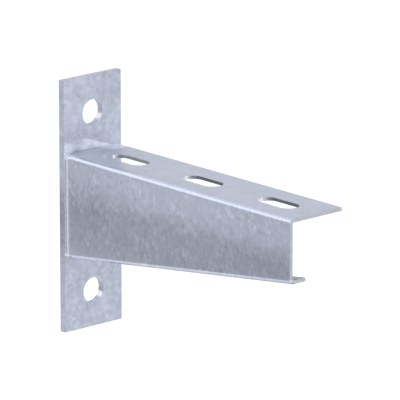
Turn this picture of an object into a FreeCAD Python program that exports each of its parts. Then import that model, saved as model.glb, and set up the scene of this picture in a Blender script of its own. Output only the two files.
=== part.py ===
import FreeCAD, Part
import enum
import math
import os

import Sketcher
from FreeCAD import Placement, Rotation, Vector

# Welded cantilever bracket. A flat wall plate with two bolt holes carries an arm
# folded from one sheet: a slotted flange on top, a web that tapers towards the
# tip, and a lip folded in along the web's sloping lower edge.
#
# The wall face of the plate is the plane x = 0, +X runs out along the arm and
# +Z is up. The origin is the middle of the wall face. All sizes are millimetres.

DRIVING_SIZES = {
    # wall plate
    "plate_width": 40.0,
    "plate_height": 138.0,
    "plate_thickness": 4.0,
    "plate_edge_round": 0.2,
    "wall_hole_diameter": 14.0,
    "wall_hole_edge": 20.0,
    # where the arm stands on the plate, and how far it reaches
    "arm_drop": 40.0,
    "arm_inset": 1.0,
    "arm_reach": 174.0,
    # folded sheet
    "sheet_thickness": 2.0,
    "bend_radius": 0.5,
    "flange_width": 36.0,
    "web_root_height": 57.2,
    "web_tip_height": 34.3,
    "lip_width": 11.0,
    "relief_length": 4.5,
    "relief_tab": 0.6,
    "sheet_edge_round": 0.25,
    # slots in the flange: the first from the plate, the last from the tip
    "slot_width": 11.0,
    "slot_length": 26.0,
    "slot_first": 31.0,
    "slot_last": 28.0,
    "slot_count": 3,
    # weld beads
    "web_weld_leg": 2.1,
    "web_weld_wrap": 1.0,
    "flange_weld_leg": 2.5,
    "flange_weld_end": 2.0,
}

WORKED_OUT_SIZES = {
    # outer face of a bend
    "outer_bend": "=bend_radius + sheet_thickness",
    # top of the flange and outer face of the web, from the origin
    "arm_top": "=plate_height / 2 - arm_drop",
    "web_face": "=arm_inset - plate_width / 2",
    # rise of the lower fold for each millimetre out along the arm
    "fold_slope": "=(web_root_height - web_tip_height) / arm_reach",
    # height of the lower fold's curved part, seen from the side
    "fold_rise": "=outer_bend * sqrt(1 + fold_slope ^ 2)",
    # depth of the web from the flange's top to the relief, at the plate, where a tab of
    # the web runs down a little past the start of the fold
    "web_edge": "=web_root_height - fold_rise + relief_tab",
    # seam of the web and the plate, which starts a little way round the upper bend
    "web_seam_top": "=outer_bend - web_weld_wrap",
    "web_seam": "=web_edge - web_seam_top",
    # the slots are evenly spaced between the first and the last
    "slot_pitch": "=(arm_reach - slot_first - slot_last) / max(slot_count - 1; 1)",
    # the web's bead has most of the strip of plate beside the web
    "web_weld_foot": "=arm_inset * 0.8",
}

# The face of a bead is an arc with this radius, as a multiple of its leg
CROWN_RATIO = 1.5

# Two places closer than this are the same place
NEAR = 1e-4


class Point(enum.IntEnum):
    """How a constraint names the points of an edge."""

    FIRST = 1
    SECOND = 2
    CENTRE = 3


class Axis(enum.IntEnum):
    """How a constraint names the sketch's own axes."""

    ACROSS = -1
    UP = -2


ORIGIN = (Axis.ACROSS, Point.FIRST)

doc = FreeCAD.newDocument("cantilever_bracket")


def make_sheet():
    """Write every size into a spreadsheet, with its name as the cell's alias."""
    sheet = doc.addObject("Spreadsheet::Sheet", "Sizes")
    rows = list(DRIVING_SIZES.items()) + list(WORKED_OUT_SIZES.items())
    for row, (name, entry) in enumerate(rows, start=1):
        sheet.set(f"A{row}", name)
        sheet.set(f"B{row}", str(entry))
        sheet.setAlias(f"B{row}", name)
    doc.recompute()
    return sheet


sizes = make_sheet()


def size_of(formula):
    """The number that a formula on the sheet's sizes gives now."""
    return float(sizes.evalExpression(formula))


def add_body(label, x, y, z):
    """An empty body whose place follows three formulas."""
    body = doc.addObject("PartDesign::Body", label)
    body.Label = label
    body.Placement = Placement(Vector(size_of(x), size_of(y), size_of(z)), Rotation())
    for direction, formula in (("x", x), ("y", y), ("z", z)):
        body.setExpression(f"Placement.Base.{direction}", formula)
    return body


def origin_feature(body, role):
    """One of the body's own planes or axes."""
    return next(item for item in body.Origin.OriginFeatures if item.Role == role)


def add_sketch(body, name, plane, offset="0"):
    """A sketch on one of the body's planes, moved off it along the plane's normal."""
    sketch = body.newObject("Sketcher::SketchObject", name)
    sketch.AttachmentSupport = (origin_feature(body, plane), [""])
    sketch.MapMode = "FlatFace"
    sketch.setExpression("AttachmentOffset.Base.z", offset)
    return sketch


def pin(sketch, point, across, up):
    """Hold a point of a sketch at two formulas measured from the sketch's origin."""
    for kind, formula, axis in (("DistanceX", across, Axis.UP), ("DistanceY", up, Axis.ACROSS)):
        distance = size_of(formula)
        if abs(distance) < NEAR:
            sketch.addConstraint(Sketcher.Constraint("PointOnObject", *point, axis))
        elif distance > 0:
            held = sketch.addConstraint(Sketcher.Constraint(kind, *ORIGIN, *point, distance))
            sketch.setExpression(f"Constraints[{held}]", formula)
        else:
            held = sketch.addConstraint(Sketcher.Constraint(kind, *point, *ORIGIN, -distance))
            sketch.setExpression(f"Constraints[{held}]", f"-({formula})")


def set_radius(sketch, edge, formula):
    held = sketch.addConstraint(Sketcher.Constraint("Radius", edge, size_of(formula)))
    sketch.setExpression(f"Constraints[{held}]", formula)


def draw_outline(sketch, corners):
    """A closed outline of straight lines through corners given as pairs of formulas."""
    places = [Vector(size_of(across), size_of(up), 0) for across, up in corners]
    count = len(places)
    lines = [
        sketch.addGeometry(Part.LineSegment(places[i], places[(i + 1) % count]), False)
        for i in range(count)
    ]
    for i, line in enumerate(lines):
        after = lines[(i + 1) % count]
        sketch.addConstraint(Sketcher.Constraint("Coincident", line, Point.SECOND, after, Point.FIRST))
        pin(sketch, (line, Point.FIRST), *corners[i])


def draw_circle(sketch, across, up, radius):
    centre = Vector(size_of(across), size_of(up), 0)
    circle = sketch.addGeometry(Part.Circle(centre, Vector(0, 0, 1), size_of(radius)), False)
    pin(sketch, (circle, Point.CENTRE), across, up)
    set_radius(sketch, circle, radius)


def draw_slot(sketch, left, right, up, radius):
    """A round-ended slot between two end centres."""
    up_now = size_of(up)
    half = size_of(radius)
    ends = []
    for across, start in ((left, math.pi / 2), (right, -math.pi / 2)):
        centre = Vector(size_of(across), up_now, 0)
        circle = Part.Circle(centre, Vector(0, 0, 1), half)
        ends.append(sketch.addGeometry(Part.ArcOfCircle(circle, start, start + math.pi), False))
        pin(sketch, (ends[-1], Point.CENTRE), across, up)
    left_end, right_end = ends
    left_now, right_now = size_of(left), size_of(right)
    floor_line = Part.LineSegment(Vector(left_now, up_now - half, 0), Vector(right_now, up_now - half, 0))
    roof_line = Part.LineSegment(Vector(right_now, up_now + half, 0), Vector(left_now, up_now + half, 0))
    floor = sketch.addGeometry(floor_line, False)
    roof = sketch.addGeometry(roof_line, False)
    joints = (
        (left_end, Point.SECOND, floor, Point.FIRST),
        (floor, Point.SECOND, right_end, Point.FIRST),
        (right_end, Point.SECOND, roof, Point.FIRST),
        (roof, Point.SECOND, left_end, Point.FIRST),
    )
    for joint in joints:
        sketch.addConstraint(Sketcher.Constraint("Tangent", *joint))
    set_radius(sketch, left_end, radius)


def draw_bead(sketch, run, foot):
    """A fillet weld's section in the corner at the origin: run along +X, foot along -Y."""
    run_now, foot_now = size_of(run), size_of(foot)
    radius = f"{CROWN_RATIO} * {run}"
    toe = Vector(run_now, 0, 0)
    heel = Vector(0, -foot_now, 0)
    chord = toe - heel
    middle = (toe + heel) * 0.5
    inward = Vector(-foot_now, run_now, 0).normalize()
    centre = middle + inward * math.sqrt(size_of(radius) ** 2 - (chord.Length / 2) ** 2)
    heel_angle = math.atan2(heel.y - centre.y, heel.x - centre.x)
    toe_angle = math.atan2(toe.y - centre.y, toe.x - centre.x)
    circle = Part.Circle(centre, Vector(0, 0, 1), size_of(radius))
    along = sketch.addGeometry(Part.LineSegment(Vector(), toe), False)
    crown = sketch.addGeometry(Part.ArcOfCircle(circle, heel_angle, toe_angle), False)
    down = sketch.addGeometry(Part.LineSegment(heel, Vector()), False)
    pin(sketch, (along, Point.FIRST), "0", "0")
    pin(sketch, (along, Point.SECOND), run, "0")
    pin(sketch, (down, Point.FIRST), "0", f"-({foot})")
    sketch.addConstraint(Sketcher.Constraint("Coincident", along, Point.SECOND, crown, Point.SECOND))
    sketch.addConstraint(Sketcher.Constraint("Coincident", crown, Point.FIRST, down, Point.FIRST))
    sketch.addConstraint(Sketcher.Constraint("Coincident", down, Point.SECOND, along, Point.FIRST))
    set_radius(sketch, crown, radius)


def add_pad(body, name, sketch, length, backwards=False):
    """Raise a sketch along its normal, or against it."""
    pad = body.newObject("PartDesign::Pad", name)
    pad.Profile = sketch
    pad.setExpression("Length", length)
    pad.Reversed = backwards
    doc.recompute()
    return pad


def add_pocket(body, name, sketch, length=None, along_normal=False):
    """Cut a sketch to a depth, or right through, against its normal or along it."""
    pocket = body.newObject("PartDesign::Pocket", name)
    pocket.Profile = sketch
    pocket.Reversed = along_normal
    if length:
        pocket.setExpression("Length", length)
    else:
        pocket.Type = "ThroughAll"
    doc.recompute()
    return pocket


def add_fillet(body, name, base, edges, radius):
    fillet = body.newObject("PartDesign::Fillet", name)
    fillet.Base = (base, edges)
    fillet.setExpression("Radius", radius)
    doc.recompute()
    return fillet


def edges_of(feature, wanted):
    """Names of the edges whose two ends the test accepts."""
    names = []
    for number, edge in enumerate(feature.Shape.Edges, start=1):
        ends = [vertex.Point for vertex in edge.Vertexes]
        if len(ends) == 2 and wanted(*ends):
            names.append(f"Edge{number}")
    return names


def faces_of(feature, wanted):
    """Names of the faces whose box the test accepts."""
    return [
        f"Face{number}"
        for number, face in enumerate(feature.Shape.Faces, start=1)
        if wanted(face.BoundBox)
    ]


def same(first, second):
    return abs(first - second) < NEAR


def make_mounting_plate():
    """Flat bar with softened edges and a bolt hole near each end."""
    body = add_body("mounting_plate", "0", "0", "0")

    outline = add_sketch(body, "plate_outline", "YZ_Plane")
    side, top = "Sizes.plate_width / 2", "Sizes.plate_height / 2"
    draw_outline(outline, [(f"-{side}", f"-{top}"), (side, f"-{top}"), (side, top), (f"-{side}", top)])
    bar = add_pad(body, "flat_bar", outline, "Sizes.plate_thickness")
    every_edge = edges_of(bar, lambda start, end: True)
    add_fillet(body, "edge_rounds", bar, every_edge, "Sizes.plate_edge_round")

    hole_outlines = add_sketch(body, "wall_hole_outlines", "YZ_Plane")
    hole_height = "(Sizes.plate_height / 2 - Sizes.wall_hole_edge)"
    draw_circle(hole_outlines, "0", hole_height, "Sizes.wall_hole_diameter / 2")
    draw_circle(hole_outlines, "0", f"-{hole_height}", "Sizes.wall_hole_diameter / 2")
    add_pocket(body, "wall_holes", hole_outlines, along_normal=True)
    return body


def fold_sheet(body):
    """The sheet's folded form: a block of its outer shape, hollowed to the sheet's thickness."""
    side_view = add_sketch(body, "side_view", "XZ_Plane")
    reach = "Sizes.arm_reach"
    draw_outline(
        side_view,
        [("0", "0"), ("0", "-Sizes.web_root_height"), (reach, "-Sizes.web_tip_height"), (reach, "0")],
    )
    block = add_pad(body, "outer_block", side_view, "Sizes.flange_width", backwards=True)

    def is_fold(start, end):
        return same(start.y, 0) and same(end.y, 0) and not same(start.x, end.x)

    bends = add_fillet(body, "outer_bends", block, edges_of(block, is_fold), "Sizes.outer_bend")

    tip = size_of(reach)
    far_side = size_of("Sizes.flange_width")

    def is_open(box):
        return same(box.XMax, 0) or same(box.XMin, tip) or same(box.YMin, far_side)

    hollow = body.newObject("PartDesign::Thickness", "sheet")
    hollow.Base = (bends, faces_of(bends, is_open))
    hollow.setExpression("Value", "Sizes.sheet_thickness")
    hollow.Reversed = True
    hollow.Join = "Intersection"
    doc.recompute()


def trim_lip(body):
    """Cut the lower fold back to the lip's width, and away from the plate at the root."""
    end_view = add_sketch(body, "lip_trim_outline", "YZ_Plane")
    below = "-(Sizes.web_root_height + Sizes.outer_bend)"
    between = "-Sizes.web_tip_height / 2"
    beyond = "Sizes.flange_width + Sizes.outer_bend"
    draw_outline(
        end_view,
        [("Sizes.lip_width", below), (beyond, below), (beyond, between), ("Sizes.lip_width", between)],
    )
    add_pocket(body, "lip_trim", end_view, along_normal=True)

    out = "Sizes.relief_length"
    inside_web = add_sketch(body, "lip_relief_outline", "XZ_Plane", "-Sizes.sheet_thickness")
    draw_outline(inside_web, [("0", below), (out, below), (out, between), ("0", between)])
    add_pocket(body, "lip_relief", inside_web)

    under_tab = add_sketch(body, "tab_end_outline", "XZ_Plane")
    out_above = "-(Sizes.web_edge - Sizes.relief_length * Sizes.fold_slope)"
    draw_outline(under_tab, [("0", below), (out, below), (out, out_above), ("0", "-Sizes.web_edge")])
    add_pocket(body, "tab_end", under_tab)


def cut_slots(body):
    """A row of slots along the middle of the flange."""
    slot_outline = add_sketch(body, "slot_outline", "XY_Plane")
    half_straight = "(Sizes.slot_length - Sizes.slot_width) / 2"
    draw_slot(
        slot_outline,
        f"Sizes.slot_first - {half_straight}",
        f"Sizes.slot_first + {half_straight}",
        "Sizes.flange_width / 2",
        "Sizes.slot_width / 2",
    )
    slot = add_pocket(body, "first_slot", slot_outline, "2 * Sizes.sheet_thickness")

    row = body.newObject("PartDesign::LinearPattern", "slot_row")
    row.Originals = [slot]
    row.Direction = (origin_feature(body, "X_Axis"), [""])
    row.Mode = "Spacing"
    row.setExpression("Offset", "Sizes.slot_pitch")
    row.setExpression("Occurrences", "Sizes.slot_count")
    body.Tip = row
    doc.recompute()
    return row


def make_arm():
    """One folded sheet, with its root end square against the wall plate."""
    body = add_body("arm", "Sizes.plate_thickness", "Sizes.web_face", "Sizes.arm_top")
    fold_sheet(body)
    trim_lip(body)
    slotted = cut_slots(body)

    tip = size_of("Sizes.arm_reach")
    free_sides = (size_of("Sizes.flange_width"), size_of("Sizes.lip_width"))
    slot_sides = [
        size_of(f"(Sizes.flange_width {sign} Sizes.slot_width) / 2") for sign in ("-", "+")
    ]

    def both_at(start, end, sides):
        return all(any(same(point.y, side) for side in sides) for point in (start, end))

    def is_cut_edge(start, end):
        if same(start.x, tip) and same(end.x, tip):
            return True
        if same(start.x, end.x) and same(start.y, end.y):
            return False
        along_side = both_at(start, end, free_sides) and not same(start.x, end.x)
        slot_rim = both_at(start, end, slot_sides) and same(start.z, end.z)
        return along_side or slot_rim

    add_fillet(body, "cut_edge_rounds", slotted, edges_of(slotted, is_cut_edge), "Sizes.sheet_edge_round")
    return body


def make_web_weld():
    """Bead down the outside of the web, from the upper bend to the end of the tab."""
    body = add_body("web_weld", "Sizes.plate_thickness", "Sizes.web_face", "Sizes.arm_top")
    section = add_sketch(body, "web_bead_section", "XY_Plane", "-Sizes.web_seam_top")
    draw_bead(section, "Sizes.web_weld_leg", "Sizes.web_weld_foot")
    bead = add_pad(body, "web_bead", section, "Sizes.web_seam", backwards=True)
    rims = edges_of(bead, lambda start, end: not same(start.x, end.x) and not same(start.y, end.y))
    add_fillet(body, "web_bead_ends", bead, rims, "Sizes.web_weld_foot / 2")
    return body


def make_flange_weld():
    """Bead across the underside of the flange, inside the arm."""
    underside = "Sizes.arm_top - Sizes.sheet_thickness"
    body = add_body("flange_weld", "Sizes.plate_thickness", "Sizes.web_face", underside)
    section = add_sketch(body, "flange_bead_section", "XZ_Plane", "-Sizes.outer_bend")
    draw_bead(section, "Sizes.flange_weld_leg", "Sizes.flange_weld_leg")
    length = "Sizes.flange_width - Sizes.outer_bend - Sizes.flange_weld_end"
    bead = add_pad(body, "flange_bead", section, length, backwards=True)
    rims = edges_of(bead, lambda start, end: not same(start.x, end.x) and not same(start.z, end.z))
    add_fillet(body, "flange_bead_ends", bead, rims, "Sizes.flange_weld_leg / 4")
    return body


def check_model(bodies):
    """Stop before anything is written if a feature failed or a cut took nothing away."""
    for item in doc.Objects:
        faults = [word for word in item.State if word in ("Invalid", "Error")]
        if faults:
            raise RuntimeError(f"{item.Label} is {', '.join(faults)}")
        if item.TypeId == "PartDesign::Pocket" and item.Shape.Volume > item.BaseFeature.Shape.Volume - NEAR:
            raise RuntimeError(f"{item.Label} cuts nothing")
    for body in bodies:
        if body.Shape.isNull() or not body.Shape.isValid():
            raise RuntimeError(f"{body.Label} has no valid shape")


def write_parts(bodies):
    os.makedirs("parts", exist_ok=True)
    for body in bodies:
        body.Shape.exportStep(f"parts/{body.Label}.step")
        box = body.Shape.BoundBox
        print(f"{body.Label}: {body.Shape.Volume:.1f} mm3, {len(body.Shape.Solids)} solid,")
        print(f"  x {box.XMin:.2f} to {box.XMax:.2f}, y {box.YMin:.2f} to {box.YMax:.2f},")
        print(f"  z {box.ZMin:.2f} to {box.ZMax:.2f}")


bracket = [make_mounting_plate(), make_arm(), make_web_weld(), make_flange_weld()]
doc.recompute()
check_model(bracket)
write_parts(bracket)
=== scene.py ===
import math
import random

import bpy
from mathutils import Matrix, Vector


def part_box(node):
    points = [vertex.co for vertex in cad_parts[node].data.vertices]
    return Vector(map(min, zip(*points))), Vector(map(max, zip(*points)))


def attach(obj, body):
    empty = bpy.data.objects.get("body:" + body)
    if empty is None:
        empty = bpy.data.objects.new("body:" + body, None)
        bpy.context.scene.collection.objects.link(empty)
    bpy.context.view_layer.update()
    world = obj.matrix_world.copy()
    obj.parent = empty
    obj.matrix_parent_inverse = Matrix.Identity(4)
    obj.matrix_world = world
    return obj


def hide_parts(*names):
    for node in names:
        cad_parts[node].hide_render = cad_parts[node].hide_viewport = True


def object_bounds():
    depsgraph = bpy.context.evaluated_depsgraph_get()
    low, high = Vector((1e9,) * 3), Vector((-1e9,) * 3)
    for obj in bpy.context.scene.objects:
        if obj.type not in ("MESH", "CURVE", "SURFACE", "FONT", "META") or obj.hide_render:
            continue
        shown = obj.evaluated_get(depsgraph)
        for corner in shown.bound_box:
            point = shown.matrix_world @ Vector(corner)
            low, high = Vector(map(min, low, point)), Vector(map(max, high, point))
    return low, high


# Welded cantilever bracket, hot-dip galvanised: a flat wall plate, an arm folded
# from one sheet and two weld beads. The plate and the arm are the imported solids.
# The beads are modelled here with the ripples that the solids leave out.
#
# Lengths are metres unless a name or a comment says otherwise. +X runs out along the
# arm, -Y is the side of the web and +Z is up.

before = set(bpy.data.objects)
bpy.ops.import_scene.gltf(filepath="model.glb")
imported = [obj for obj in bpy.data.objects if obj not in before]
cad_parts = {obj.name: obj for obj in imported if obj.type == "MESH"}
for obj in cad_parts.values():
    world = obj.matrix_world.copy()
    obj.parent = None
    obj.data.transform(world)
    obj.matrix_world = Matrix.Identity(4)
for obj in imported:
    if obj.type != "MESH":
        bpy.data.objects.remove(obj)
cad_low, cad_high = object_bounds()

MM = 0.001
BODY = "root"

# Where the photograph was taken from, found by fitting the part's edges to it
VIEW_AZIMUTH = math.radians(48.059)
VIEW_ELEVATION = math.radians(15.219)
VIEW_DISTANCE = 2.6366
VIEW_TARGET = Vector((0.08903, 0.0, 0.01788))
SENSOR_WIDTH_MM = 36.0
LENS_MM = 457.73
NEAREST_SEEN = 0.1
FARTHEST_SEEN = 50.0

# The floor lies well below a bracket that hangs on a wall. Its paper takes the part's
# shadow, and its glow lifts it to white for the camera and in reflections.
FLOOR_DROP = 0.25
FLOOR_SPAN = 9.0
FLOOR_PAPER = 0.70
FLOOR_GLOW = 0.48

# Light from all round, as a share of white
ROUND_LIGHT = 0.8

# Each lamp's name, azimuth and elevation in degrees, distance, width, height,
# brightness and colour. The warm one is a little yellow, against the blue of zinc
# that is seen in zinc.
WHITE = (1.0, 1.0, 1.0)
WARM = (1.0, 0.96, 0.88)
LAMPS = (
    ("key_lamp", -52.0, 26.0, 1.4, 0.8, 0.9, 1.75, WHITE),
    ("high_key_lamp", -54.0, 48.0, 1.4, 0.8, 0.6, 0.8, WHITE),
    ("left_lamp", -104.0, 38.0, 1.5, 0.9, 0.7, 0.65, WHITE),
    ("right_lamp", 132.0, 15.0, 1.5, 0.9, 0.5, 2.0, WARM),
    ("low_right_lamp", 122.0, -6.0, 1.5, 0.9, 0.4, 0.25, WHITE),
    ("tip_side_lamp", 88.0, 6.0, 1.5, 1.3, 1.0, 1.5, WHITE),
)


def direction(azimuth, elevation):
    """Unit vector towards a place seen at an azimuth and an elevation in radians."""
    flat = math.cos(elevation)
    return Vector((math.sin(azimuth) * flat, -math.cos(azimuth) * flat, math.sin(elevation)))


def aim(thing, target):
    """Turn a camera or a lamp to look at a point."""
    thing.rotation_mode = "QUATERNION"
    thing.rotation_quaternion = (target - thing.location).to_track_quat("-Z", "Y")


class Socket:
    """A value in a material. Arithmetic on it adds Math nodes."""

    def __init__(self, finish, socket):
        self.finish = finish
        self.socket = socket

    def __add__(self, other):
        return self.finish.maths("ADD", self, other)

    def __sub__(self, other):
        return self.finish.maths("SUBTRACT", self, other)

    def __rsub__(self, other):
        return self.finish.maths("SUBTRACT", other, self)

    def __mul__(self, other):
        return self.finish.maths("MULTIPLY", self, other)

    __radd__ = __add__
    __rmul__ = __mul__


# Places of the Mix node's sockets when it mixes vectors
MIX_FIRST_VECTOR = 4
MIX_SECOND_VECTOR = 5
MIX_VECTOR = 1


class Finish:
    """The nodes of one material, or of the world."""

    def __init__(self, owner):
        owner.use_nodes = True
        self.tree = owner.node_tree
        self.tree.nodes.clear()

    def node(self, kind, settings=None, inputs=None, output=0):
        """Add a node: its settings first, then the values or links of its sockets."""
        made = self.tree.nodes.new(kind)
        for name, value in (settings or {}).items():
            setattr(made, name, value)
        for name, value in (inputs or {}).items():
            if isinstance(value, Socket):
                self.tree.links.new(value.socket, made.inputs[name])
            else:
                made.inputs[name].default_value = value
        return Socket(self, made.outputs[output]) if len(made.outputs) else made

    def maths(self, operation, first, second):
        """The result of a Math node."""
        return self.node("ShaderNodeMath", {"operation": operation}, {0: first, 1: second})

    def vector_maths(self, operation, first, second):
        """The result of a Vector Math node, as a vector."""
        return self.node("ShaderNodeVectorMath", {"operation": operation}, {0: first, 1: second})

    def size(self, value):
        """The value without its sign."""
        return self.node("ShaderNodeMath", {"operation": "ABSOLUTE"}, {0: value})

    def distance(self, first, second):
        """How far a point is that lies this far off in two directions at right angles."""
        return self.maths("POWER", first * first + second * second, 0.5)

    def ease(self, value, start, end):
        """0 at start, 1 at end and a smooth step between them."""
        return self.node(
            "ShaderNodeMapRange",
            {"interpolation_type": "SMOOTHSTEP"},
            {"Value": value, "From Min": start, "From Max": end},
        )

    def band(self, value, rise, fall):
        """1 in a band that begins with an easy rise and ends with an easy fall."""
        return self.ease(value, *rise) * self.ease(value, *fall)

    def place(self):
        """The place on the part, in millimetres of the part's frame."""
        metres = self.node("ShaderNodeTexCoord", output="Object")
        return self.vector_maths("MULTIPLY", metres, (1 / MM, 1 / MM, 1 / MM))

    def along(self, place, axis):
        """How far a place or a vector lies along the axis X, Y or Z."""
        return self.node("ShaderNodeSeparateXYZ", None, {"Vector": place}, output=axis)

    def split(self, place):
        """How far out, across and up a place is."""
        return [self.along(place, axis) for axis in ("X", "Y", "Z")]

    def grains(self, place, size):
        """The place measured in grains of a size in millimetres along X, Y and Z."""
        return self.vector_maths("DIVIDE", place, size)

    def noise(self, place, size, detail=2.0, output="Fac"):
        """Soft noise round 0.5 whose grains have about this size."""
        inputs = {"Vector": self.grains(place, size), "Scale": 1.0, "Detail": detail}
        return self.node("ShaderNodeTexNoise", None, inputs, output)

    def swing(self, place, size, detail):
        """The same noise round 0."""
        return self.noise(place, size, detail) - 0.5

    def wandered(self, place, size, reach):
        """The place pushed about by noise, so that grains have uneven edges."""
        push = self.noise(place, size, output="Color")
        push = self.vector_maths("MULTIPLY", push, (reach, reach, reach))
        return self.vector_maths("ADD", place, push)

    def shade(self, colour, level):
        """A colour made lighter or darker by a level that varies over the surface."""
        grey = self.node("ShaderNodeCombineXYZ", None, {"X": level, "Y": level, "Z": level})
        return self.vector_maths("MULTIPLY", colour, grey)

    def blend(self, first, second, share):
        """The first colour where share is 0, and the second where it is 1."""
        inputs = {0: share, MIX_FIRST_VECTOR: first, MIX_SECOND_VECTOR: second}
        return self.node("ShaderNodeMix", {"data_type": "VECTOR"}, inputs, MIX_VECTOR)

    def facing(self, axis):
        """How far the surface faces along an axis, from -1 to 1."""
        normal = self.node("ShaderNodeNewGeometry", output="Normal")
        return self.along(normal, axis)

    def zinc(self, colour, level, roughness, relief, depth):
        """Close the material as bare zinc, with a relief in metres."""
        bump = self.node("ShaderNodeBump", None, {"Distance": depth, "Height": relief})
        inputs = {
            "Base Color": self.shade(colour, level),
            "Metallic": ZINC_METALLIC,
            "Roughness": roughness,
            "Normal": bump,
        }
        shader = self.node("ShaderNodeBsdfPrincipled", None, inputs)
        self.node("ShaderNodeOutputMaterial", None, {"Surface": shader})


# Zinc, as the linear colour that it shows under white light; some below carry painted light and
# shade.
# Zinc dulls as it weathers, so it is taken as half way between a metal and a matt coat.
ZINC_METALLIC = 0.45
GREYER_ZINC = (0.387, 0.411, 0.508)
BLUER_ZINC = (0.381, 0.413, 0.516)
# A bluer copy of the zinc for the flange's top: painted light for that face
LIT_TOP_ZINC = (0.388, 0.420, 0.545)
BY_WALL_ZINC = (0.400, 0.428, 0.520)
TIP_ZINC = (0.420, 0.436, 0.500)
PLATE_ZINC = (0.400, 0.430, 0.528)
# Painted reflection of the flange on the plate, and lighter spots in its corner
REFLECTION_AND_SPOT_ZINC = (0.424, 0.450, 0.522)
# Painted shade and half shade for the slots' walls, and painted shade and highlight for the hole's
# walls; a painted glint follows them
SHADE_CUT_ZINC = (0.225, 0.228, 0.250)
HALF_SHADE_CUT_ZINC = (0.370, 0.382, 0.440)
HOLE_SHADE_ZINC = (0.345, 0.364, 0.450)
HOLE_HIGHLIGHT_ZINC = (0.440, 0.446, 0.528)
GLINT_CUT_ZINC = (0.72, 0.73, 0.79)
# Brighter than the sheet's zinc, partly as a painted highlight on the beads
WELD_ZINC_AND_HIGHLIGHT = (0.600, 0.630, 0.730)

# Reliefs of the zinc, in metres
ZINC_RELIEF = 0.03 * MM
WELD_RELIEF = 0.004 * MM

# The finishes below follow the part's forms in millimetres. A pair of numbers is
# where a step from 0 to 1 starts and where it ends.

# Heights between which the zinc is darker
DARKER_BAND_RISE = (-38.0, -14.0)
DARKER_BAND_FALL = (21.0, 1.0)

# Forms of the solids
PLATE_FRONT = 4.0
PLATE_SIDE = -20.0
PLATE_TOP = 69.0
WALL_HOLE_HEIGHT = 49.0
WALL_HOLE_RADIUS = 7.0
FLANGE_TOP = 29.0
FLANGE_UNDER = 27.0
TIP = 178.0
MIDDLE_OF_WEB = 90.0
SLOT_MIDDLE = -1.0
SLOT_HALF_WIDTH = 5.5
FOLD_AT_WALL = -26.2
FOLD_SLOPE = 0.1316
UPPER_BEND = 2.5

# Where the sheet turns from the flange and the lip to the web's outside, across
TO_OUTSIDE = (-15.5, -16.5)

# A curved run of zinc on the flange: its middle out and across, and its width, as
# distances from the middle
RUN_MIDDLE = (26.0, 1.5)
RUN_RISE = (8.0, 8.9)
RUN_FALL = (10.8, 9.9)

# The upper edge of the painted reflection of the flange on the plate: where it comes down
# to the flange, across, and how steeply it climbs from there towards the web
RIM_FOOT = 15.7
RIM_SLOPE = 0.34

# Lighter spots on the plate in the corner over the bend. Each has its middle across
# and above the flange, how fast it ends across and upwards, how uneven its edge is,
# the step at its edge and how much lighter it is.
CORNER_SPOTS = (
    ((-16.0, 2.8), (0.42, 1.0), 2.0, (3.9, 1.6), 0.32),
    ((-18.8, 4.8), (0.8, 0.7), 0.0, (2.4, 0.8), 0.34),
    ((-19.4, -0.8), (0.9, 0.7), 0.0, (2.2, 0.9), 0.50),
)


def lighten(level, *changes):
    """The level lighter by shares, each in its own zone, and darker by those below 0."""
    total = 1.0
    for share, zone in changes:
        total = total + share * zone
    return level * total


def sheet_texture(finish, place, wandered, flat_top):
    """The mottle of the sheet, and the noises that other parts of its finish follow."""
    clouds = finish.swing(place, (15.0, 15.0, 12.0), 3.0)
    patches = finish.swing(wandered, (3.9, 3.9, 4.2), 3.0)
    runs = finish.swing(place, (1.9, 1.9, 3.8), 1.5)
    smears = finish.swing(wandered, (6.0, 9.0, 9.0), 1.0)
    dashes = finish.ease(finish.swing(place, (1.8, 1.8, 3.2), 1.0), 0.08, 0.18)
    specks = finish.ease(finish.swing(wandered, (2.2, 2.2, 2.2), 1.0), -0.14, -0.24)

    strength = (0.55 + 0.85 * finish.ease(clouds, -0.12, 0.12)) * (1.0 - 0.72 * flat_top)
    mottle = 0.32 * patches + 0.34 * runs + 0.15 * (dashes - 0.2) - 0.12 * specks
    level = 1.0 + mottle * strength + 0.14 * clouds + 0.22 * smears * flat_top
    return level, clouds, patches, runs


def slot_walls(finish, place):
    """1 on the walls of the flange's slots."""
    out, across, height = finish.split(place)
    under = (FLANGE_UNDER, FLANGE_UNDER + 0.1)
    top = (FLANGE_TOP, FLANGE_TOP - 0.1)
    from_middle = finish.size(across - SLOT_MIDDLE)
    in_slot = finish.ease(from_middle, SLOT_HALF_WIDTH + 0.4, SLOT_HALF_WIDTH + 0.2)
    off_tip = finish.ease(out, TIP - 1.0, TIP - 2.0)
    return finish.band(height, under, top) * in_slot * off_tip


def paint_slot_wall_light_and_shade(finish, place, colour, level):
    """Paint shade on the slots' walls where they face the web, half shade round the ends, a glint
    beyond them and light on the first slot's far wall.
    """
    walls = slot_walls(finish, place)
    facing_across = finish.facing("Y")
    to_web = walls * finish.ease(facing_across, -0.80, -0.92)
    first_slot = finish.ease(finish.along(place, "X"), 62.0, 54.0)
    missing = first_slot * finish.ease(facing_across, 0.08, 0.16)
    glint = finish.ease(facing_across, -0.22, -0.14) * (1.0 - missing)

    # painted half shade round the ends, painted shade facing the web, a painted glint beyond, and
    # painted light on the first slot's far wall
    colour = finish.blend(colour, HALF_SHADE_CUT_ZINC, walls * finish.ease(facing_across, -0.18, -0.30))
    colour = finish.blend(colour, SHADE_CUT_ZINC, to_web)
    colour = finish.blend(colour, GLINT_CUT_ZINC, walls * glint)
    return colour, lighten(level, (1.45, to_web * first_slot))


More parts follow.
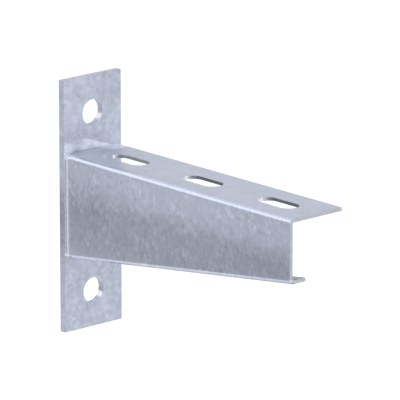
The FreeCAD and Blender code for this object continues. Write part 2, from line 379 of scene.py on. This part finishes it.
def sheet_zinc():
    """Zinc on the folded sheet: short runs and patches that follow how the arm hung, with painted
    highlights and shade on its bends, lip and slots.
    """
    material = bpy.data.materials.new("sheet_zinc_finish")
    finish = Finish(material)
    place = finish.place()
    out, across, height = finish.split(place)
    wandered = finish.wandered(place, (6.0, 6.0, 6.0), 4.0)

    flat_top = finish.ease(height, FLANGE_TOP - 3.0, FLANGE_TOP - 0.2)
    on_top = finish.ease(height, FLANGE_TOP - 0.3, FLANGE_TOP - 0.05)
    tip_face = finish.ease(out, TIP - 0.3, TIP - 0.1)
    outside = finish.ease(across, *TO_OUTSIDE)
    on_web = (1.0 - flat_top) * (1.0 - tip_face)
    level, clouds, patches, runs = sheet_texture(finish, place, wandered, flat_top)

    # the darker band leaves out the lower fold and the sheet beside the bead
    below_fold = (FOLD_AT_WALL + FOLD_SLOPE * out) - height
    fold = finish.ease(below_fold, -0.2, 0.6) * outside
    uneven = height + 6.0 * clouds + 8.0 * patches
    darker_band = finish.band(uneven, DARKER_BAND_RISE, DARKER_BAND_FALL) * on_web * (1.0 - fold)
    darker_band = darker_band * finish.ease(out, 5.8, 8.2)
    level = lighten(level, (0.08 * patches + 0.10 * runs - 0.32, darker_band))

    # painted highlight on the lower fold, with painted shade on its underside away from the wall
    # and painted light on it near the wall
    underside = finish.ease(below_fold, 0.9, 1.7)
    near_wall = finish.ease(out, 42.0, 26.0)
    level = lighten(level, (0.48 + underside * (0.75 * near_wall - 0.62), fold))

    # on the flange: a dark line at the seam by the wall, painted as shade in the joint, paler zinc
    # at the open side there, the run by the first slot and a strip along the bend
    seam = finish.ease(out, 5.0, 4.3) * finish.ease(across, 15.0, 2.0)
    pale_corner = finish.ease(out, 17.0, 9.0) * finish.ease(across, 2.0, 11.0)
    from_run = finish.distance(out - RUN_MIDDLE[0], across - RUN_MIDDLE[1])
    run = finish.band(from_run, RUN_RISE, RUN_FALL)
    run = run * finish.ease(out, 26.0, 21.0) * finish.ease(across, 4.0, 0.0)
    by_bend = finish.ease(across, -7.5, -10.5) * finish.band(out, (42.0, 58.0), (125.0, 100.0))
    by_wall = on_top * finish.ease(out, 52.0, 24.0)
    on_flange = 0.80 * pale_corner + 0.32 * run - 0.20 * seam - 0.05 * by_bend
    level = lighten(level, (on_flange, on_top), (0.12, by_wall))

    # painted highlight on the bend over the web, strongest beside the plate, and along its crest
    # there
    bend = finish.ease(height, 26.4, 27.2) * (1.0 - on_top) * outside
    crest_highlight = finish.band(height, (28.2, 28.5), (29.0, 28.75)) * finish.ease(across, -16.5, -17.0)
    crest_highlight = crest_highlight * finish.ease(out, 16.0, 8.0)
    level = lighten(level, (0.11 + 0.22 * finish.ease(out, 8.5, 6.5), bend))
    level = lighten(level, (0.45, crest_highlight))

    # the web is a little duller towards both of its ends, and so is the cut at the tip
    to_ends = finish.ease(finish.size(out - MIDDLE_OF_WEB), 35.0, 65.0)
    to_ends = to_ends * finish.ease(height, -12.0, 0.0)
    level = lighten(level, (-0.07, to_ends * on_web))
    level = lighten(level, (-0.10, tip_face))

    # painted shade on the lip, deepest in its corner by the web
    shaded_lip = finish.ease(finish.facing("Z"), 0.6, 0.8) * finish.ease(height, 22.0, 20.0)
    in_corner = finish.ease(across, -9.5, -13.0)
    level = lighten(level, (-0.22 - 0.38 * in_corner, shaded_lip))

    tint = finish.ease(finish.swing(wandered, (7.0, 7.0, 5.0), 2.0), -0.14, 0.14)
    colour = finish.blend(GREYER_ZINC, BLUER_ZINC, tint)
    # painted light: the flange's top gets a bluer copy of the zinc
    colour = finish.blend(colour, LIT_TOP_ZINC, on_top)
    colour = finish.blend(colour, BY_WALL_ZINC, by_wall)
    colour = finish.blend(colour, TIP_ZINC, tip_face + on_top * pale_corner)
    colour, level = paint_slot_wall_light_and_shade(finish, place, colour, level)

    roughness = 0.26 + 0.12 * patches + 0.12 * by_wall
    relief = (patches + 0.5) * (1.0 - flat_top)
    finish.zinc(colour, level, roughness, relief, ZINC_RELIEF)
    return material


def plate_texture(finish, place, wandered):
    """The mottle of the plate, and the noises that other parts of its finish follow."""
    clouds = finish.swing(place, (14.0, 14.0, 14.0), 3.0)
    blotches = finish.swing(wandered, (3.8, 3.8, 3.4), 3.0)
    flecks = finish.ease(finish.swing(wandered, (2.2, 2.2, 1.8), 1.0), 0.06, 0.20)
    spots = finish.ease(finish.swing(wandered, (4.2, 4.2, 3.2), 1.0), -0.14, -0.22)
    from_line = finish.size(finish.swing(wandered, (6.5, 6.5, 5.0), 1.5))
    wisps = finish.ease(from_line, 0.045, 0.010) * finish.ease(blotches, -0.06, 0.10)

    level = 1.0 + 0.60 * blotches + 0.09 * flecks + 0.24 * clouds + 0.10 * wisps - 0.10 * spots
    return level, clouds, blotches


def paint_hole_wall_light_and_shade(finish, place, colour, level):
    """Paint shade on the drilled walls, greyer than the face and darkest at the top, with a
    painted sheen and a painted highlight.
    """
    across = finish.along(place, "Y")
    up = finish.size(finish.along(place, "Z")) - WALL_HOLE_HEIGHT
    from_axis = finish.distance(across, up)
    walls = finish.ease(from_axis, WALL_HOLE_RADIUS + 0.08, WALL_HOLE_RADIUS + 0.02)

    facing_up = finish.facing("Z")
    # painted shade at the top and the bottom of the walls, a painted sheen on their upper part and
    # a painted highlight on their lower part
    top = walls * finish.ease(facing_up, -0.82, -0.92)
    upper_sheen = walls * finish.band(facing_up, (-0.78, -0.66), (-0.30, -0.44))
    lower_highlight = walls * finish.band(facing_up, (0.20, 0.34), (0.72, 0.56))
    bottom = walls * finish.ease(facing_up, 0.66, 0.80)
    colour = finish.blend(colour, HOLE_SHADE_ZINC, walls * finish.ease(facing_up, 0.35, 0.15))
    colour = finish.blend(colour, HOLE_HIGHLIGHT_ZINC, lower_highlight)
    changes = (0.16, upper_sheen), (0.10, lower_highlight), (-0.45, top), (-0.20, bottom)
    return colour, lighten(level, *changes)


def painted_reflection_and_spots(finish, across, above, clouds, blotches):
    """How much lighter the plate is above the flange: a painted reflection of the flange in a band
    that narrows away from the web, and lighter spots in the corner over the bend."""
    under_rim = RIM_SLOPE * (RIM_FOOT - across) - above + 3.0 * clouds
    band = finish.ease(under_rim, 0.0, 1.2) * finish.band(above, (-0.3, 0.1), (8.0, 5.0))
    reflection_and_spots = band * (0.14 + 0.34 * finish.ease(across, -12.0, -4.0))
    for middle, fast, rough_edge, edge, lighter in CORNER_SPOTS:
        off_across = fast[0] * finish.size(across - middle[0])
        off_up = fast[1] * finish.size(above - middle[1])
        from_middle = off_across + off_up + rough_edge * blotches
        reflection_and_spots = reflection_and_spots + lighter * finish.ease(from_middle, *edge)
    return reflection_and_spots


def plate_zinc():
    """Zinc on the flat bar: round blotches and lighter flecks, darker half way down one edge, with
    painted shade and light and a painted reflection of the flange.
    """
    material = bpy.data.materials.new("plate_zinc_finish")
    finish = Finish(material)
    place = finish.place()
    out, across, height = finish.split(place)
    above = height - FLANGE_TOP
    wandered = finish.wandered(place, (5.0, 5.0, 5.0), 5.0)
    level, clouds, blotches = plate_texture(finish, place, wandered)

    # over the arm: painted shade on the plate at the open side, and painted light at the web's
    # side
    shaded_corner = finish.ease(across, 2.0, 11.0) * finish.ease(height, 50.0, 60.0)
    lit_side = finish.ease(across, -5.0, -11.0) * finish.band(height, (36.0, 42.0), (62.0, 54.0))
    level = level - 0.08 * shaded_corner + 0.06 * lit_side

    web_side = finish.ease(across, 0.0, PLATE_SIDE + 0.5)
    darker_band = finish.band(height + 10.0 * clouds, DARKER_BAND_RISE, DARKER_BAND_FALL) * web_side
    side_face = finish.ease(across, PLATE_SIDE + 0.3, PLATE_SIDE + 0.05)
    top_face = finish.ease(height, PLATE_TOP - 0.4, PLATE_TOP - 0.1)
    level = lighten(level, (-0.33, darker_band))
    # painted shade on the side face, and the top face darker too
    level = lighten(level, (-0.10, side_face))
    level = lighten(level, (-0.10, top_face))

    colour, level = paint_hole_wall_light_and_shade(finish, place, PLATE_ZINC, level)

    on_front = finish.ease(across, PLATE_SIDE + 0.05, PLATE_SIDE + 0.25)
    on_front = on_front * finish.ease(out, PLATE_FRONT - 1.0, PLATE_FRONT - 0.4)
    # painted reflection of the flange above it, and lighter spots in the corner
    reflection_and_spots = on_front * painted_reflection_and_spots(finish, across, above, clouds, blotches)
    level = level * (1.0 + reflection_and_spots)
    colour = finish.blend(colour, REFLECTION_AND_SPOT_ZINC, 2.0 * reflection_and_spots)

    # the seam over the flange, a dark line painted as shade in the joint, and smoother zinc above
    # it
    seam = finish.band(above, (-0.30, -0.10), (0.60, 0.25)) * on_front
    seam = seam * finish.band(across, (-15.0, -14.0), (15.0, 2.0))
    by_flange = finish.band(above, (-1.0, 0.0), (30.0, 14.0))
    level = lighten(level, (-0.24, seam))
    level = lighten(level, (0.03, by_flange))

    roughness = 0.23 + 0.12 * blotches + 0.14 * by_flange
    finish.zinc(colour, level, roughness, blotches, ZINC_RELIEF)
    return material


def weld_zinc():
    """Zinc over a weld: smoother than on the sheet, and brighter, partly as a painted highlight.
    """
    material = bpy.data.materials.new("weld_zinc_finish")
    finish = Finish(material)
    place = finish.place()
    out, across, height = finish.split(place)
    patches = finish.swing(place, (2.0, 2.0, 2.0), 1.0)
    level = 1.0 + 0.16 * patches

    # painted highlights at the web bead's ends; between them painted shade over its face from near
    # its foot to near its toe, and painted light at the foot
    outside = finish.ease(across, -16.0, -16.5)
    bottom_highlight = finish.ease(height, -24.6, -25.6)
    top_highlight = finish.ease(height, 26.0, 27.2)
    between = (1.0 - bottom_highlight) * (1.0 - top_highlight)
    foot = finish.ease(out, 4.45, 4.25)
    face = finish.band(out, (4.2, 4.6), (5.45, 4.8))
    along_bead = between * (0.16 * foot - 0.45 * face - 0.04)
    level = lighten(level, (0.14 * bottom_highlight + 0.10 * top_highlight + along_bead, outside))

    roughness = 0.28 + 0.10 * patches
    finish.zinc(WELD_ZINC_AND_HIGHLIGHT, level, roughness, patches, WELD_RELIEF)
    return material


def dress_node(name, material):
    """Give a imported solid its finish."""
    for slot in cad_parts[name].material_slots:
        slot.material = material


# Weld beads. Each is swept along its seam as rings of points. A ring starts at the
# root of the seam, steps along the plate to the bead's foot, goes over the crowned
# face to its toe on the sheet and comes back to the root.
FACE_POINTS = 11
RINGS_PER_RIPPLE = 7

# How deep the root and the rims lie in the plate and the sheet, in millimetres
WELD_SINK = 0.03

# A bead's size at its very ends and how much it wavers, as shares of its size, and how
# far a ripple lags in the middle of the face and how much it wavers, as shares of the
# ripples' pitch
END_SIZE = 0.25
SIZE_WAVER = 0.06
RIPPLE_LAG = 0.45
RIPPLE_WAVER = 0.15


def straight_seam(start, end, to_plate, step):
    """Places of the root about a step apart, each with the way along the plate from it."""
    start, end = Vector(start), Vector(end)
    steps = math.ceil((end - start).length / step)
    return [(start.lerp(end, place / steps), Vector(to_plate)) for place in range(steps + 1)]


def seam_round_bend(centre, radius, turn, step):
    """The same for a seam that goes on round a bend, from -Y towards +Z."""
    steps = math.ceil(radius * turn / step)
    seam = []
    for place in range(1, steps + 1):
        angle = turn * place / steps
        to_plate = Vector((0.0, -math.cos(angle), math.sin(angle)))
        seam.append((Vector(centre) + radius * to_plate, to_plate))
    return seam


def make_bead(name, node, material, seam, to_sheet, legs, ripple, crown, ends, seed):
    """Make a rippled fillet bead along a seam, in millimetres of the part's frame.

    to_sheet points from the root along the sheet, legs gives how far the bead reaches
    on the plate and on the sheet, ripple its pitch and height, and crown how far its
    face bulges. ends gives, for the first end and the last, how much thicker the bead
    is there and over what length it closes.
    """
    chance = random.Random(seed)
    to_sheet = Vector(to_sheet)
    distances = [0.0]
    for before, after in zip(seam, seam[1:]):
        distances.append(distances[-1] + (after[0] - before[0]).length)
    length = distances[-1]
    pitch, height = ripple
    rings = len(seam) - 1
    # how far the bead wavers at each whole millimetre of its length
    waver = [chance.uniform(-1.0, 1.0) for _ in range(int(length) + 3)]

    def wavered(distance):
        whole = int(distance)
        part = distance - whole
        part = part * part * (3.0 - 2.0 * part)
        return waver[whole] * (1.0 - part) + waver[whole + 1] * part

    vertices = []
    for distance, (centre, to_plate) in zip(distances, seam):
        outward = (to_plate * legs[1] + to_sheet * legs[0]).normalized()
        to_end = min(distance, length - distance)
        thicker, end_round = ends[0] if distance < length / 2 else ends[1]
        closing = math.sqrt(max(1.0 - (1.0 - min(to_end / end_round, 1.0)) ** 2, 0.0))
        swell = thicker * math.exp(-((to_end - end_round) / end_round) ** 2)
        size = (END_SIZE + (1.0 - END_SIZE) * closing) * (1.0 + swell)
        size = size * (1.0 + SIZE_WAVER * wavered(distance))
        vertices.append(centre - (to_plate + to_sheet) * WELD_SINK)
        foot = to_plate * legs[0] * size - to_sheet * WELD_SINK
        toe = to_sheet * legs[1] * size - to_plate * WELD_SINK
        for point in range(FACE_POINTS):
            across = point / (FACE_POINTS - 1)
            arch = 4.0 * across * (1.0 - across)
            wave = distance / pitch + RIPPLE_LAG * arch + RIPPLE_WAVER * wavered(distance)
            scallop = abs(math.sin(math.pi * wave))
            proud = (crown * size + height * (scallop - 0.5)) * math.sqrt(arch)
            vertices.append(centre + foot.lerp(toe, across) + outward * proud)

    ring_size = FACE_POINTS + 1
    faces = []
    for ring in range(rings):
        for point in range(ring_size):
            here = ring * ring_size + point
            beside = ring * ring_size + (point + 1) % ring_size
            faces.append((here, beside, beside + ring_size, here + ring_size))
    faces.append(tuple(reversed(range(ring_size))))
    faces.append(tuple(rings * ring_size + point for point in range(ring_size)))

    mesh = bpy.data.meshes.new(name)
    mesh.from_pydata([vertex * MM for vertex in vertices], [], faces)
    if seam[0][1].cross(to_sheet).dot(seam[1][0] - seam[0][0]) > 0.0:
        mesh.flip_normals()
    for polygon in mesh.polygons:
        polygon.use_smooth = True
    mesh.materials.append(material)
    bead = bpy.data.objects.new(name, mesh)
    bpy.context.scene.collection.objects.link(bead)
    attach(bead, BODY)
    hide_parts(node)


def box_mm(node):
    """A node's lowest and highest corners, in millimetres."""
    low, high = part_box(node)
    return Vector(low) / MM, Vector(high) / MM


# The web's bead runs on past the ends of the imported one: a drop below the web, in
# millimetres, and nearly the whole way round the bend between the web and the flange
WEB_BEAD_DROP = 0.7
UPPER_BEND_TURN = math.radians(86.0)


def make_web_bead(material):
    """Make the bead up the outside of the web and round the upper bend."""
    low, high = box_mm("web_weld")
    pitch = 1.2
    step = pitch / RINGS_PER_RIPPLE
    bottom = (low.x, high.y, low.z - WEB_BEAD_DROP)
    bend_start = (low.x, high.y, FLANGE_TOP - UPPER_BEND)
    bend_centre = (low.x, high.y + UPPER_BEND, FLANGE_TOP - UPPER_BEND)
    seam = straight_seam(bottom, bend_start, (0.0, -1.0, 0.0), step)
    seam += seam_round_bend(bend_centre, UPPER_BEND, UPPER_BEND_TURN, step)
    make_bead(
        "web_bead",
        "web_weld",
        material,
        seam,
        to_sheet=(1.0, 0.0, 0.0),
        legs=(high.y - low.y, high.x - low.x),
        ripple=(pitch, 0.010),
        crown=0.14,
        ends=((0.30, 1.3), (0.0, 3.4)),
        seed=3,
    )


def make_flange_bead(material):
    """Make the bead across the underside of the flange, inside the arm."""
    low, high = box_mm("flange_weld")
    pitch = 1.3
    start = (low.x, low.y, high.z)
    end = (low.x, high.y, high.z)
    seam = straight_seam(start, end, (0.0, 0.0, -1.0), pitch / RINGS_PER_RIPPLE)
    make_bead(
        "flange_bead",
        "flange_weld",
        material,
        seam,
        to_sheet=(1.0, 0.0, 0.0),
        legs=(high.z - low.z, high.x - low.x),
        ripple=(pitch, 0.12),
        crown=0.22,
        ends=((0.10, 1.5), (0.10, 1.5)),
        seed=8,
    )


def soft_lamp(name, azimuth, elevation, distance, width, height, brightness, colour):
    """Add a soft rectangle of light that is brightness times as bright as white paper."""
    data = bpy.data.lights.new(name, "AREA")
    data.color = colour
    data.shape = "RECTANGLE"
    data.size = width
    data.size_y = height
    data.energy = math.pi * width * height * brightness
    lamp = bpy.data.objects.new(name, data)
    bpy.context.scene.collection.objects.link(lamp)
    centre = (cad_low + cad_high) / 2
    way = direction(math.radians(azimuth), math.radians(elevation))
    lamp.location = centre + distance * way
    aim(lamp, centre)
    lamp.visible_camera = False


def seen_by_camera_or_gloss(finish):
    """1 for rays from the camera, a reflection or glass, and 0 for all other light."""
    names = ("Is Camera Ray", "Is Glossy Ray", "Is Transmission Ray")
    camera, gloss, glass = (finish.node("ShaderNodeLightPath", output=name) for name in names)
    return camera + gloss + glass


def make_world():
    """Make it white behind the part and in its reflections, with a plain light all round."""
    world = bpy.data.worlds.new("studio")
    bpy.context.scene.world = world
    finish = Finish(world)
    strength = ROUND_LIGHT + (1.0 - ROUND_LIGHT) * seen_by_camera_or_gloss(finish)
    inputs = {"Color": (*WHITE, 1.0), "Strength": strength}
    background = finish.node("ShaderNodeBackground", None, inputs)
    finish.node("ShaderNodeOutputWorld", None, {"Surface": background})


def make_floor():
    """Add a white floor that keeps the part's shadow and isn't seen from below."""
    half = FLOOR_SPAN / 2
    level = cad_low.z - FLOOR_DROP
    corners = [(-half, -half), (half, -half), (half, half), (-half, half)]
    mesh = bpy.data.meshes.new("floor")
    mesh.from_pydata([(x, y, level) for x, y in corners], [], [(0, 1, 2, 3)])
    floor = bpy.data.objects.new("floor", mesh)
    bpy.context.scene.collection.objects.link(floor)

    material = bpy.data.materials.new("floor_paper")
    finish = Finish(material)
    grey = (FLOOR_PAPER, FLOOR_PAPER, FLOOR_PAPER, 1.0)
    paper = finish.node("ShaderNodeBsdfDiffuse", None, {"Color": grey})
    strength = FLOOR_GLOW * seen_by_camera_or_gloss(finish)
    glow = finish.node("ShaderNodeEmission", None, {"Strength": strength})
    lit = finish.node("ShaderNodeAddShader", None, {0: paper, 1: glow})
    clear = finish.node("ShaderNodeBsdfTransparent")
    below = finish.node("ShaderNodeNewGeometry", output="Backfacing")
    mixed = finish.node("ShaderNodeMixShader", None, {0: below, 1: lit, 2: clear})
    finish.node("ShaderNodeOutputMaterial", None, {"Surface": mixed})
    mesh.materials.append(material)


def make_camera():
    """Add the camera, where the photograph was taken from."""
    data = bpy.data.cameras.new("camera")
    data.sensor_width = SENSOR_WIDTH_MM
    data.lens = LENS_MM
    camera = bpy.data.objects.new("camera", data)
    bpy.context.scene.collection.objects.link(camera)
    camera.location = VIEW_TARGET + VIEW_DISTANCE * direction(VIEW_AZIMUTH, VIEW_ELEVATION)
    aim(camera, VIEW_TARGET)
    data.clip_start = NEAREST_SEEN
    data.clip_end = FARTHEST_SEEN
    bpy.context.scene.camera = camera


make_camera()
make_world()
for lamp in LAMPS:
    soft_lamp(*lamp)
make_floor()

dress_node("mounting_plate", plate_zinc())
dress_node("arm", sheet_zinc())
weld_finish = weld_zinc()
make_web_bead(weld_finish)
make_flange_bead(weld_finish)

bpy.context.scene.view_settings.view_transform = "Standard"
